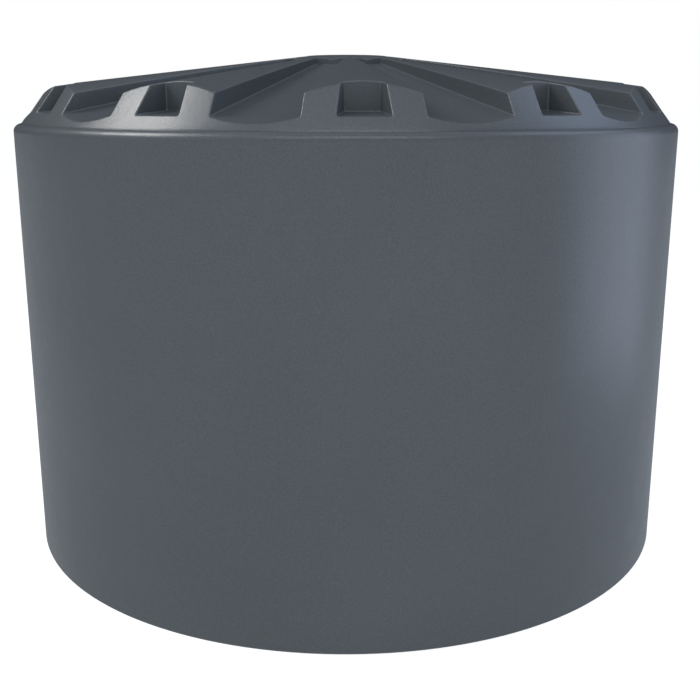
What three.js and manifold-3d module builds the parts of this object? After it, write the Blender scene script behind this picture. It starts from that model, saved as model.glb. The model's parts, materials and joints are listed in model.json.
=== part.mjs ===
// A round rotationally moulded polyethylene water tank with a twelve-ribbed conical roof, an inlet
// strainer let into the flat top of the roof, an overflow near the top of the wall and a ball valve
// at its foot. Millimetres, +Z up. The origin is the centre of the underside. A rib of the roof
// points along -Y, and the overflow and the outlet stand on the +Y side, one above the other.
import * as THREE from "three";
import { mergeVertices } from "three/addons/utils/BufferGeometryUtils.js";
import Module from "manifold-3d";

// Tank moulding
const TANK_RADIUS = 1800;
const WALL = 9; // thickness of the moulding
const FLOOR_THICKNESS = 10;
const CREASE_HEIGHT = 2285; // the crease between the shoulder and the skirt of the roof
const CREASE_RADIUS = 1760;
const SHOULDER_RADIUS = TANK_RADIUS - CREASE_RADIUS;
const GAP = 0.3; // between two pieces that touch
const TANK_FACETS = 72;

// Roof: heights are above the crease, x runs out from the axis, y across the rib or valley
const RIB_COUNT = 12;
const SECTOR = (2 * Math.PI) / RIB_COUNT;
const SKIRT_STEEPNESS = 1.36; // rise over run
const HUB_RADIUS = 220;
const HUB_HEIGHT = 354;
const RIB_APEX = 379.4;
const RIB_FALL = 0.116;
const RIB_CROWN = 6.766e-4; // drop across the rib per square millimetre, at REFERENCE_RADIUS
const RIB_CROWN_POWER = -0.606;
const VALLEY_APEX = 366.5;
const VALLEY_FALL = 0.195;
const VALLEY_DISH = 6.368e-4; // rise across the valley per square millimetre, at REFERENCE_RADIUS
const VALLEY_DISH_POWER = -0.49;
const REFERENCE_RADIUS = 1620;
const VALLEY_START = 362;
const VALLEY_HALF_WIDTH_IN = 79;
const VALLEY_HALF_WIDTH_OUT = 190;
const VALLEY_WIDTH_RADIUS = 1692; // where the outer half width is reached
const VALLEY_DRAFT = 0.051;
const POCKET_BACK = 1539;
const POCKET_HALF_WIDTH = 78;
const POCKET_FLARE = 0.202;
const POCKET_FLOOR_BACK = 74;
const POCKET_FLOOR_FALL = 0.09;
const CUT_TOP = 470; // every roof cutter runs clear above the roof
const HUB_SPLIT = 350; // the hub region ends just inside the valleys' inner walls

// Hinges of the lid and of the overflow's flap
const PIN_RADIUS = 2.5;
const PIN_HOLE = PIN_RADIUS + GAP;
const PIN_HOLE_REACH = 40; // half the length of the cutter

// Inlet strainer, let into the hub
const HUB_TOP = CREASE_HEIGHT + HUB_HEIGHT;
const SEAT_RADIUS = 203;
const SEAT_DEPTH = 12;
const MANHOLE_RADIUS = 172;
const INLET_FACETS = 36;
const FLANGE_RADIUS = 202;
const FLANGE_TOP = HUB_TOP - 1;
const FLANGE_BOTTOM = HUB_TOP - 8.7;
const LEDGE_TOP = HUB_TOP - 6;
const LEDGE_RADIUS = 184;
const NECK_OUTER = 169;
const NECK_INNER = 164;
const NECK_BOTTOM = HUB_TOP - 79;
const NECK_LIP = 155;
const BASKET_RADIUS = 154.5;
const BASKET_WALL = 3;
const BASKET_LEDGE = 6; // the floor of the basket lies on it
const BASKET_WALL_SLOTS = 16;
const BASKET_FLOOR_SLOTS = 10;
const MESH_RADIUS = 150;
const MESH_THICKNESS = 1.2;
const MESH_PITCH = 54;
const MESH_HOLE = 23; // half width
const BASKET_BOTTOM = HUB_TOP - 200;
const LID_RADIUS = 183;
const LID_EDGE_BOTTOM = LEDGE_TOP + GAP;
const LID_EDGE_TOP = HUB_TOP - 0.5;
const LID_DOME = 5;
const LID_SLOTS = 16;
const SCREW_CIRCLE = 193;
const SCREW_COUNT = 6;
const SCREW_SHANK = 1.9;
const SCREW_CLEARANCE = 2.6; // radius of the holes in the flange and the gasket
const LID_AXIS = { y: 192.5, z: HUB_TOP + 6 };
const LATCH_RADIUS = 156; // distance of the latch shaft from the tank axis
const LATCH_REACH = 14;
const LATCH_SHAFT = 4;
const CAM_TOP = HUB_TOP - 18;

// Overflow and outlet, on the +Y side of the wall
const PAD_OUTER = TANK_RADIUS + 3; // outer face of the flat pads moulded on the wall
const PAD_INNER = TANK_RADIUS - 15;
const GASKET = 3;
const OVERFLOW = {
  height: 2120, pad: 95, flange: 82, tube: 55, bore: 49, inside: 1748, outside: 1870, gasket: 80,
  nutDepth: 20,
};
const OUTLET = {
  height: 130, pad: 70, flange: 52, tube: 30, bore: 24, inside: 1750, outside: 1850, gasket: 50,
  nutDepth: 18,
};
const FLANGE_THICKNESS = 8;
const FITTING_FACETS = 24;
const FLAP_RADIUS = 50.5;
const FLAP_AXIS = { y: OVERFLOW.outside + 0.5, z: OVERFLOW.height + 66 };

// Ball valve on the outlet
const BALL_Y = 1892;
const BALL_RADIUS = 35;
const CHAMBER_RADIUS = 38;
const CHAMBER_START = BALL_Y - 32;
const CHAMBER_END = BALL_Y + 43;
const SEAT_LENGTH = 13.5;
const STEM_RADIUS = 7;
const STEM_TOP_RADIUS = 5;
const BONNET_TOP = OUTLET.height + 62;
const GLAND_TOP = BONNET_TOP + 9;
const LEVER_BOTTOM = GLAND_TOP + GAP;
const LEVER_THICKNESS = 4;
const LEVER_LENGTH = 175;
const LEVER_RISE = 22;
const LEVER_WIDTH = 26;
const VALVE_END = 1985;
const TAIL_END = 2052;
const TAIL_BORE = 19;

const LOOKS = {
  tank: { color: 0x545a62, roughness: 0.5, metalness: 0 },
  black_plastic: { color: 0x1d1f21, roughness: 0.55, metalness: 0 },
  stainless: { color: 0xb9bcc0, roughness: 0.35, metalness: 1 },
  rubber: { color: 0x161616, roughness: 0.85, metalness: 0 },
  brass: { color: 0xb08d4a, roughness: 0.35, metalness: 1 },
  chromed: { color: 0xd5d8dc, roughness: 0.15, metalness: 1 },
  seat_white: { color: 0xe9e7e0, roughness: 0.4, metalness: 0 },
  zinc_steel: { color: 0x9ea3a8, roughness: 0.45, metalness: 1 },
  grip_blue: { color: 0x1f4f9a, roughness: 0.5, metalness: 0 },
};

const wasm = await Module();
wasm.setup();
const tank = new THREE.Group();
tank.name = "water_storage_tank";

// A closed three.js geometry as a solid.
function solidOf(geometry) {
  const bare = geometry.clone();
  bare.deleteAttribute("normal");
  bare.deleteAttribute("uv");
  const merged = mergeVertices(bare, 1e-3);
  const triVerts = new Uint32Array(merged.index.array);
  const vertProperties = merged.attributes.position.array;
  return new wasm.Manifold(new wasm.Mesh({ numProp: 3, vertProperties, triVerts }));
}

// Adds a solid to the tank as one named piece.
function addPiece(name, solid, look) {
  const { vertProperties, triVerts } = solid.getMesh();
  const geometry = new THREE.BufferGeometry();
  geometry.setAttribute("position", new THREE.BufferAttribute(vertProperties, 3));
  geometry.setIndex(new THREE.BufferAttribute(triVerts, 1));
  geometry.computeVertexNormals();
  const mesh = new THREE.Mesh(geometry, new THREE.MeshStandardMaterial(LOOKS[look]));
  mesh.name = name;
  tank.add(mesh);
}

// A solid of revolution about Z. The profile lists [radius, height] pairs round a closed outline.
function turned(profile, facets) {
  let area = 0;
  profile.forEach(([r, z], i) => {
    const [nextR, nextZ] = profile[(i + 1) % profile.length];
    area += r * nextZ - nextR * z;
  });
  const outline = area > 0 ? profile : [...profile].reverse();
  const points = [...outline, outline[0]].map(([r, z]) => new THREE.Vector2(r, z));
  return new THREE.LatheGeometry(points, facets).rotateX(Math.PI / 2);
}

// A ring or sleeve about Z.
function sleeve(inner, outer, bottom, top, facets) {
  return turned([[inner, bottom], [outer, bottom], [outer, top], [inner, top]], facets);
}

// A rod, disc or many-sided prism about Z.
function rod(radius, bottom, top, facets) {
  const geometry = new THREE.CylinderGeometry(radius, radius, top - bottom, facets);
  return geometry.rotateX(Math.PI / 2).translate(0, 0, (top + bottom) / 2);
}

function block([x0, x1], [y0, y1], [z0, z1]) {
  const geometry = new THREE.BoxGeometry(x1 - x0, y1 - y0, z1 - z0);
  return geometry.translate((x0 + x1) / 2, (y0 + y1) / 2, (z0 + z1) / 2);
}

// Lays a geometry made along Z along the pipe direction, +Y, at a height.
const alongPipe = (geometry, height) => geometry.rotateX(-Math.PI / 2).translate(0, 0, height);

// Lays a geometry made along Z across the tank, along X, at a point of the YZ plane.
const acrossAt = (geometry, { y, z }) => geometry.rotateY(Math.PI / 2).translate(0, y, z);

// Copies of a geometry at even steps round the tank axis, the first one turned by a share of a step.
function aroundAxis(count, shift, make) {
  const step = (2 * Math.PI) / count;
  return Array.from({ length: count }, (_, i) => make().rotateZ((i + shift) * step));
}

// The hole for a hinge pin that lies along X.
const pinHoleAt = (axis) => acrossAt(rod(PIN_HOLE, -PIN_HOLE_REACH, PIN_HOLE_REACH, 16), axis);

const union = (...geometries) => geometries.map(solidOf).reduce((a, b) => a.add(b));
const without = (solid, ...geometries) => geometries.reduce((a, g) => a.subtract(solidOf(g)), solid);

// ---- Tank moulding ----

function quarterRound(radius, steps) {
  return Array.from({ length: steps + 1 }, (_, i) => {
    const angle = (i / steps) * (Math.PI / 2);
    return [
      CREASE_RADIUS + radius * Math.cos(angle),
      CREASE_HEIGHT - SHOULDER_RADIUS + radius * Math.sin(angle),
    ];
  });
}

function tankWall() {
  const outside = [[TANK_RADIUS, 0], ...quarterRound(SHOULDER_RADIUS, 4)];
  const inside = [[TANK_RADIUS - WALL, 0], ...quarterRound(SHOULDER_RADIUS - WALL, 2)].reverse();
  let wall = solidOf(turned([...outside, ...inside], TANK_FACETS));
  for (const { height, pad, tube } of [OVERFLOW, OUTLET]) {
    wall = wall.add(solidOf(alongPipe(rod(pad, PAD_INNER, PAD_OUTER, INLET_FACETS), height)));
    const hole = rod(tube + 1, PAD_INNER - 5, PAD_OUTER + 5, FITTING_FACETS);
    wall = without(wall, alongPipe(hole, height));
  }
  return wall;
}

// Height of the convex rib tops above the crease, repeated in each sector of the roof.
function ribHeight(radius, angle) {
  const fromRib = angle - SECTOR * Math.round(angle / SECTOR);
  const x = radius * Math.cos(fromRib);
  const y = radius * Math.sin(fromRib);
  const crown = x > 0 ? RIB_CROWN * (x / REFERENCE_RADIUS) ** RIB_CROWN_POWER * y * y : 0;
  return RIB_APEX - RIB_FALL * x - crown;
}

function valleyHeight(x, y) {
  const dish = VALLEY_DISH * (x / REFERENCE_RADIUS) ** VALLEY_DISH_POWER * y * y;
  return VALLEY_APEX - VALLEY_FALL * x + dish;
}

// The solid under the rib tops and inside the skirt, lowered and drawn in by inset.
function ribbedCone(inset, facets, rings) {
  const edge = TANK_RADIUS + 50;
  const base = -60;
  const top = rings.map((r) => [r, RIB_APEX]);
  const geometry = turned([[0, base], [edge, base], [edge, RIB_APEX], ...top, [0, RIB_APEX]], facets);
  const position = geometry.attributes.position;
  for (let i = 0; i < position.count; i++) {
    const x = position.getX(i);
    const y = position.getY(i);
    if (position.getZ(i) > 0) {
      position.setZ(i, ribHeight(Math.hypot(x, y), Math.atan2(y, x)) - inset);
    }
  }
  const lower = inset ? base : -WALL - GAP;
  const foot = inset ? CREASE_RADIUS : CREASE_RADIUS - GAP;
  const slant = inset * Math.hypot(1, 1 / SKIRT_STEEPNESS);
  const skirtTop = 600;
  const skirt = [
    [0, lower],
    [inset ? foot - slant - lower / SKIRT_STEEPNESS : foot, lower],
    [foot - slant, 0],
    [foot - slant - skirtTop / SKIRT_STEEPNESS, skirtTop],
    [0, skirtTop],
  ];
  return solidOf(geometry).intersect(solidOf(turned(skirt, TANK_FACETS)));
}

// A box divided into cells and bent into shape: place maps its own 0..1 length, -1..1 width and
// bottom or top to a point.
function bentBox([long, wide], place) {
  const geometry = new THREE.BoxGeometry(1, 1, 1, long, wide, 1);
  const position = geometry.attributes.position;
  for (let i = 0; i < position.count; i++) {
    const point = place(position.getX(i) + 0.5, position.getY(i) * 2, position.getZ(i) > 0);
    position.setXYZ(i, ...point);
  }
  return geometry;
}

function valleyCutter(inset, cells) {
  const start = VALLEY_START - inset;
  const spread = (VALLEY_HALF_WIDTH_OUT - VALLEY_HALF_WIDTH_IN) / (VALLEY_WIDTH_RADIUS - VALLEY_START);
  return bentBox(cells, (along, across, isTop) => {
    const x = start + along * (TANK_RADIUS + 30 - start);
    const halfWidth = VALLEY_HALF_WIDTH_IN + inset + spread * (x - VALLEY_START);
    const floor = valleyHeight(x, across * halfWidth) - inset;
    if (!isTop) return [x, across * halfWidth, floor];
    const drafted = halfWidth + VALLEY_DRAFT * (CUT_TOP - floor);
    return [x, across * drafted, CUT_TOP];
  });
}

function pocketCutter(inset) {
  return bentBox([1, 1], (along, across, isTop) => {
    const x = POCKET_BACK - inset + along * (TANK_RADIUS - POCKET_BACK + 30);
    const halfWidth = POCKET_HALF_WIDTH + inset + POCKET_FLARE * (x - POCKET_BACK);
    const floor = POCKET_FLOOR_BACK - POCKET_FLOOR_FALL * (x - POCKET_BACK) - inset;
    return [x, across * halfWidth, isTop ? CUT_TOP : floor];
  });
}

// Ribs lie on -Y, +Y and every sector between, valleys half a sector further round.
function ribbedSolid(inset, facets, rings, cells) {
  let solid = ribbedCone(inset, facets, rings);
  for (let i = 0; i < RIB_COUNT; i++) {
    const valley = valleyCutter(inset, cells).rotateZ((i + 0.5) * SECTOR);
    solid = without(solid, valley, pocketCutter(inset).rotateZ(i * SECTOR));
  }
  return solid;
}

function tankRoof() {
  const outerRings = [1600, 1100, 650, VALLEY_START, HUB_RADIUS];
  const innerRings = [1600, 900, HUB_RADIUS];
  const hub = rod(HUB_RADIUS, HUB_HEIGHT - 40, HUB_HEIGHT, TANK_FACETS);
  const above = block([-400, 400], [-400, 400], [HUB_HEIGHT, CUT_TOP]);
  const outside = without(ribbedSolid(0, TANK_FACETS, outerRings, [4, 4]), above).add(solidOf(hub));
  const innerTop = HUB_HEIGHT - SEAT_DEPTH - WALL;
  const aboveInside = block([-500, 500], [-500, 500], [innerTop, CUT_TOP]);
  const inside = without(ribbedSolid(WALL, RIB_COUNT * 4, innerRings, [2, 2]), aboveInside);
  const seat = rod(SEAT_RADIUS, HUB_HEIGHT - SEAT_DEPTH, CUT_TOP, INLET_FACETS);
  const manhole = rod(MANHOLE_RADIUS, HUB_HEIGHT - 60, CUT_TOP, INLET_FACETS);
  const screwHoles = screwPlaces().map(([x, y]) =>
    rod(SCREW_SHANK + GAP, HUB_HEIGHT - 60, CUT_TOP, 12).translate(x, y, 0),
  );
  return without(outside.subtract(inside), seat, manhole, ...screwHoles).translate([0, 0, CREASE_HEIGHT]);
}

// The wedge of one sector, with half a gap taken off each side, round the rib along +X.
function wedge() {
  const tip = GAP / 2 / Math.sin(SECTOR / 2);
  const reach = TANK_RADIUS * 1.2;
  const outline = new THREE.Shape();
  outline.moveTo(tip, 0);
  outline.lineTo(tip + reach, -reach * Math.tan(SECTOR / 2));
  outline.lineTo(tip + reach, reach * Math.tan(SECTOR / 2));
  outline.closePath();
  const geometry = new THREE.ExtrudeGeometry(outline, { depth: 600, bevelEnabled: false });
  return geometry.translate(0, 0, CREASE_HEIGHT - 100);
}

const hubRegion = (radius) => rod(radius, CREASE_HEIGHT - 100, CREASE_HEIGHT + 500, TANK_FACETS);

addPiece("tank_wall", tankWall(), "tank");
const floorRadius = TANK_RADIUS - WALL - GAP - 1;
addPiece("tank_floor", solidOf(rod(floorRadius, 0, FLOOR_THICKNESS, TANK_FACETS)), "tank");
const roof = tankRoof();
addPiece("roof_hub", roof.intersect(solidOf(hubRegion(HUB_SPLIT))), "tank");
const segment = without(roof, hubRegion(HUB_SPLIT + GAP)).intersect(solidOf(wedge()));
for (let i = 0; i < RIB_COUNT; i++) {
  addPiece(`roof_segment_${i + 1}`, segment.rotate([0, 0, (i * 360) / RIB_COUNT - 90]), "tank");
}

// ---- Inlet strainer with its hinged grated lid ----

// Fixing screws round the flange, none of them at the hinge or the latch.
function screwPlaces() {
  return Array.from({ length: SCREW_COUNT }, (_, i) => {
    const angle = (i / SCREW_COUNT) * 2 * Math.PI;
    return [SCREW_CIRCLE * Math.cos(angle), SCREW_CIRCLE * Math.sin(angle)];
  });
}

function clearanceHoles() {
  return screwPlaces().map(([x, y]) =>
    rod(SCREW_CLEARANCE, HUB_TOP - 40, HUB_TOP + 10, 12).translate(x, y, 0),
  );
}

function inletRing() {
  const profile = [
    [NECK_LIP, NECK_BOTTOM],
    [NECK_OUTER, NECK_BOTTOM],
    [NECK_OUTER, FLANGE_BOTTOM],
    [FLANGE_RADIUS, FLANGE_BOTTOM],
    [FLANGE_RADIUS, FLANGE_TOP],
    [LEDGE_RADIUS, FLANGE_TOP],
    [LEDGE_RADIUS, LEDGE_TOP],
    [NECK_INNER, LEDGE_TOP],
    [NECK_INNER, NECK_BOTTOM + BASKET_WALL],
    [NECK_LIP, NECK_BOTTOM + BASKET_WALL],
  ];
  const lugs = [-1, 1].map((side) =>
    block([side * 21 - 4, side * 21 + 4], [186, 199], [FLANGE_TOP - 2, LID_AXIS.z + 6]),
  );
  const notch = block([-16, 16], [-LATCH_RADIUS - 17, -LATCH_RADIUS - 2], [CAM_TOP - 7, CAM_TOP + 5]);
  const pinHole = pinHoleAt(LID_AXIS);
  return without(union(turned(profile, INLET_FACETS), ...lugs), notch, pinHole, ...clearanceHoles());
}

function inletBasket() {
  const rim = NECK_BOTTOM + BASKET_WALL + GAP;
  const inner = BASKET_RADIUS - BASKET_WALL;
  const profile = [
    [inner - BASKET_LEDGE, BASKET_BOTTOM],
    [BASKET_RADIUS, BASKET_BOTTOM],
    [BASKET_RADIUS, rim],
    [NECK_INNER - 0.5, rim],
    [NECK_INNER - 0.5, rim + BASKET_WALL],
    [inner, rim + BASKET_WALL],
    [inner, BASKET_BOTTOM + BASKET_WALL],
    [inner - BASKET_LEDGE, BASKET_BOTTOM + BASKET_WALL],
  ];
  const slots = aroundAxis(BASKET_WALL_SLOTS, 0, () =>
    block([inner - 10, inner + 20], [-8, 8], [BASKET_BOTTOM + 14, rim - 14]),
  );
  return without(solidOf(turned(profile, INLET_FACETS)), ...slots);
}

function basketFloor() {
  const bottom = BASKET_BOTTOM + BASKET_WALL + GAP;
  const slots = aroundAxis(BASKET_FLOOR_SLOTS, 0, () =>
    block([45, 135], [-9, 9], [bottom - 5, bottom + 8]),
  );
  const radius = BASKET_RADIUS - BASKET_WALL - GAP;
  return without(solidOf(rod(radius, bottom, bottom + BASKET_WALL, INLET_FACETS)), ...slots);
}

// The woven screen on the basket floor, drawn with wide meshes.
function inletMesh() {
  const bottom = BASKET_BOTTOM + 2 * (BASKET_WALL + GAP);
  const holes = [];
  const hole = block([-MESH_HOLE, MESH_HOLE], [-MESH_HOLE, MESH_HOLE], [bottom - 1, bottom + 3]);
  for (const x of [-2, -1, 0, 1, 2]) {
    for (const y of [-2, -1, 0, 1, 2]) {
      if (Math.abs(x * y) === 4) continue;
      holes.push(hole.clone().translate(x * MESH_PITCH, y * MESH_PITCH, 0));
    }
  }
  const disc = solidOf(rod(MESH_RADIUS, bottom, bottom + MESH_THICKNESS, INLET_FACETS));
  return without(disc, ...holes);
}

const latchBore = (bottom, top) => rod(LATCH_SHAFT + GAP, bottom, top, 16);

function inletLid() {
  const profile = [
    [0, LID_EDGE_BOTTOM + LID_DOME],
    [90, LID_EDGE_BOTTOM + LID_DOME * 0.75],
    [LID_RADIUS - 25, LID_EDGE_BOTTOM],
    [LID_RADIUS, LID_EDGE_BOTTOM],
    [LID_RADIUS, LID_EDGE_TOP],
    [90, LID_EDGE_TOP + LID_DOME * 0.75],
    [0, LID_EDGE_TOP + LID_DOME],
  ];
  const knuckle = acrossAt(rod(5.5, -16, 16, 20), LID_AXIS);
  const foot = block([-16, 16], [168, 182.5], [LID_EDGE_TOP - 2, LID_AXIS.z - 1.5]);
  const arm = block([-16, 16], [182, 190], [FLANGE_TOP + 0.6, LID_AXIS.z - 1.5]);
  const slots = aroundAxis(LID_SLOTS, 0.5, () =>
    block([48, 140], [-5.5, 5.5], [HUB_TOP - 20, HUB_TOP + 20]),
  );
  const pinHole = pinHoleAt(LID_AXIS);
  const latchHole = latchBore(HUB_TOP - 20, HUB_TOP + 20).translate(0, -LATCH_RADIUS, 0);
  const latchRecess = rod(13, LID_EDGE_TOP - 2.4, HUB_TOP + 20, 20).translate(0, -LATCH_RADIUS, 0);
  const body = union(turned(profile, INLET_FACETS), foot, arm, knuckle);
  return without(body, ...slots, pinHole, latchHole, latchRecess);
}

function latchKnob() {
  const shaft = rod(LATCH_SHAFT, CAM_TOP - 12, LID_EDGE_TOP - 1, 16);
  const disc = rod(12.5, LID_EDGE_TOP - 2.1, LID_EDGE_TOP, 20);
  const bar = block([-2, 2], [-10, 10], [LID_EDGE_TOP - 1, LID_EDGE_TOP + 1]);
  return union(shaft, disc, bar).translate([0, -LATCH_RADIUS, 0]);
}

function latchCam() {
  const cam = block([-6, LATCH_REACH], [-4, 4], [CAM_TOP - 4, CAM_TOP]);
  const boss = rod(7, CAM_TOP - 4, CAM_TOP, 16);
  const bore = latchBore(CAM_TOP - 8, CAM_TOP + 4);
  return without(union(cam, boss), bore).translate([0, -LATCH_RADIUS, 0]);
}

function latchNut() {
  const nut = rod(6.2, CAM_TOP - 9.3, CAM_TOP - 4.3, 6);
  return without(solidOf(nut), latchBore(CAM_TOP - 14, CAM_TOP)).translate([0, -LATCH_RADIUS, 0]);
}

// A pan-headed screw that stands through the flange and the roof.
function inletScrew([x, y]) {
  const shank = rod(SCREW_SHANK, HUB_TOP - 26, FLANGE_TOP + 1, 10);
  const head = turned(
    [[0, FLANGE_TOP + GAP], [5, FLANGE_TOP + GAP], [4, FLANGE_TOP + 2.4], [0, FLANGE_TOP + 2.8]],
    14,
  );
  return union(shank, head).translate([x, y, 0]);
}

function inletGasket() {
  const bottom = HUB_TOP - SEAT_DEPTH + GAP;
  const ring = sleeve(MANHOLE_RADIUS + 2, FLANGE_RADIUS, bottom, FLANGE_BOTTOM - GAP, INLET_FACETS);
  return without(solidOf(ring), ...clearanceHoles());
}

addPiece("inlet_gasket", inletGasket(), "rubber");
addPiece("inlet_ring", inletRing(), "black_plastic");
addPiece("inlet_basket", inletBasket(), "black_plastic");
addPiece("basket_floor", basketFloor(), "black_plastic");
addPiece("inlet_mesh", inletMesh(), "stainless");
addPiece("inlet_lid", inletLid(), "black_plastic");
addPiece("lid_hinge_pin", solidOf(acrossAt(rod(PIN_RADIUS, -27, 27, 16), LID_AXIS)), "stainless");
addPiece("latch_knob", latchKnob(), "stainless");
addPiece("latch_cam", latchCam(), "stainless");
addPiece("latch_nut", latchNut(), "stainless");
screwPlaces().forEach((place, i) => addPiece(`inlet_screw_${i + 1}`, inletScrew(place), "stainless"));

// ---- Tank connectors: a flanged tube through a pad of the wall, with gaskets and a locknut ----

function connector({ height, flange, tube, bore, inside, outside }) {
  const face = PAD_OUTER + GASKET + 2 * GAP;
  const profile = [
    [bore, inside],
    [tube, inside],
    [tube, face],
    [flange, face],
    [flange, face + FLANGE_THICKNESS],
    [tube, face + FLANGE_THICKNESS],
    [tube, outside],
    [bore, outside],
  ];
  return alongPipe(turned(profile, FITTING_FACETS), height);
}

// The hexagon a spanner holds, behind the flange.
function connectorHexagon({ height, tube, bore }, length) {
  const start = PAD_OUTER + GASKET + 2 * GAP + FLANGE_THICKNESS - 1;
  const hexagon = solidOf(alongPipe(rod(tube + 9, start, start + length, 6), height));
  return without(hexagon, alongPipe(rod(bore, start - 5, start + length + 5, FITTING_FACETS), height));
}

function addConnector(prefix, fitting, body) {
  const { height, tube, gasket, flange, nutDepth } = fitting;
  const hole = tube + 1;
  const outer = sleeve(hole, gasket, PAD_OUTER + GAP, PAD_OUTER + GAP + GASKET, FITTING_FACETS);
  const innerFace = PAD_INNER - GAP;
  const inner = sleeve(hole, gasket, innerFace - GASKET, innerFace, FITTING_FACETS);
  const nutFace = innerFace - GASKET - GAP;
  const nut = solidOf(alongPipe(rod(flange, nutFace - nutDepth, nutFace, 8), height));
  const nutBore = rod(tube + GAP, nutFace - nutDepth - 5, nutFace + 5, FITTING_FACETS);
  addPiece(`${prefix}_gasket`, solidOf(alongPipe(outer, height)), "rubber");
  addPiece(`${prefix}_body`, body, "black_plastic");
  addPiece(`${prefix}_inner_gasket`, solidOf(alongPipe(inner, height)), "rubber");
  addPiece(`${prefix}_nut`, without(nut, alongPipe(nutBore, height)), "black_plastic");
}

// ---- Overflow, closed by a flap that hangs from a pin ----

function overflowBody() {
  const lugs = [-1, 1].map((side) =>
    block([side * 18 - 3, side * 18 + 3], [1856, 1877], [OVERFLOW.height + 50.5, FLAP_AXIS.z + 6]),
  );
  const body = union(connector(OVERFLOW), ...lugs).add(connectorHexagon(OVERFLOW, 14));
  const bore = rod(OVERFLOW.bore, 1700, 1900, FITTING_FACETS);
  return without(body, pinHoleAt(FLAP_AXIS), alongPipe(bore, OVERFLOW.height));
}

function overflowFlap() {
  const front = OVERFLOW.outside + 0.6;
  const disc = alongPipe(rod(FLAP_RADIUS, front, front + 4, FITTING_FACETS), OVERFLOW.height);
  const arm = block([-13.5, 13.5], [front, front + 4], [OVERFLOW.height + 48, FLAP_AXIS.z]);
  const rib = block([-3, 3], [front + 3, front + 8], [OVERFLOW.height - 50, OVERFLOW.height + 50]);
  const knuckle = acrossAt(rod(5, -13.5, 13.5, 20), FLAP_AXIS);
  return without(union(disc, arm, rib, knuckle), pinHoleAt(FLAP_AXIS));
}

function overflowScreen() {
  const disc = rod(OVERFLOW.bore - GAP, 1840, 1842.5, FITTING_FACETS);
  const holes = [];
  for (const column of [-1, 0, 1]) {
    for (const row of [-1, 0, 1]) {
      const x = column * 22;
      const z = OVERFLOW.height + row * 22;
      holes.push(block([x - 9, x + 9], [1830, 1850], [z - 9, z + 9]));
    }
  }
  return without(solidOf(alongPipe(disc, OVERFLOW.height)), ...holes);
}

addConnector("overflow", OVERFLOW, overflowBody());
addPiece("overflow_screen", overflowScreen(), "stainless");
addPiece("overflow_flap", overflowFlap(), "black_plastic");
addPiece("flap_hinge_pin", solidOf(acrossAt(rod(PIN_RADIUS, -23, 23, 16), FLAP_AXIS)), "stainless");

// ---- Outlet and its ball valve ----

function outletPiece(profile, hexagons, bore) {
  let piece = solidOf(alongPipe(turned(profile, FITTING_FACETS), OUTLET.height));
  for (const [radius, start, end] of hexagons) {
    piece = piece.add(solidOf(alongPipe(rod(radius, start, end, 6), OUTLET.height)));
  }
  for (const [radius, start, end] of bore) {
    piece = without(piece, alongPipe(rod(radius, start, end, FITTING_FACETS), OUTLET.height));
  }
  return piece;
}

function valveBody() {
  const start = 1833;
  const shell = [
    [20, start],
    [38, start],
    [40, start + 16],
    [49, start + 30],
    [51, BALL_Y],
    [49, CHAMBER_END - 14],
    [48, CHAMBER_END],
    [20, CHAMBER_END],
  ];
  const bonnet = rod(17, OUTLET.height + 40, BONNET_TOP, 24).translate(0, BALL_Y, 0);
  const bores = [
    [OUTLET.tube + GAP, start - 5, OUTLET.outside + GAP + 1],
    [OUTLET.bore, start - 5, CHAMBER_END + 5],
    [CHAMBER_RADIUS, CHAMBER_START, CHAMBER_END + 5],
  ];
  const body = outletPiece(shell, [[44, start, start + 18]], []).add(solidOf(bonnet));
  const stemHole = rod(STEM_RADIUS + GAP, OUTLET.height + 20, BONNET_TOP + 5, 20).translate(0, BALL_Y, 0);
  const cutters = bores.map(([radius, from, to]) =>
    alongPipe(rod(radius, from, to, FITTING_FACETS), OUTLET.height),
  );
  return without(body, ...cutters, stemHole);
}

// A seat ring, dished to the ball on the side that faces it.
function valveSeat(start) {
  const ring = sleeve(OUTLET.bore, CHAMBER_RADIUS - GAP, start, start + SEAT_LENGTH, FITTING_FACETS);
  const dish = new THREE.SphereGeometry(BALL_RADIUS + 2 * GAP, 24, 16).translate(0, BALL_Y, OUTLET.height);
  return without(solidOf(alongPipe(ring, OUTLET.height)), dish);
}

// At rest the ball stands across the pipe: its bore lies along X.
function valveBall() {
  const sphere = new THREE.SphereGeometry(BALL_RADIUS, 24, 16);
  const bore = rod(OUTLET.bore, -50, 50, 28).rotateY(Math.PI / 2);
  const slot = block([-18, 18], [-3.5, 3.5], [BALL_RADIUS - 6, BALL_RADIUS + 5]);
  return without(solidOf(sphere), bore, slot).translate([0, BALL_Y, OUTLET.height]);
}

// The stem's flat tongue stands in the slot of the ball.
function valveStem() {
  const z = OUTLET.height;
  const shoulder = z + BALL_RADIUS + 0.8;
  const tongue = block([-10, 10], [-3.1, 3.1], [z + BALL_RADIUS - 5, shoulder + 1.2]);
  const roundTongue = solidOf(tongue).intersect(solidOf(rod(STEM_RADIUS - 0.2, z, z + 60, 20)));
  const shaft = rod(STEM_RADIUS - 0.2, shoulder, GLAND_TOP - 2, 20);
  const top = rod(STEM_TOP_RADIUS, GLAND_TOP - 3, GLAND_TOP + 16, 16);
  return union(shaft, top).add(roundTongue).translate([0, BALL_Y, 0]);
}

function ringNut(radius, bore, bottom, top, sides) {
  const nut = without(solidOf(rod(radius, bottom, top, sides)), rod(bore, bottom - 5, top + 5, 20));
  return nut.translate([0, BALL_Y, 0]);
}

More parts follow.
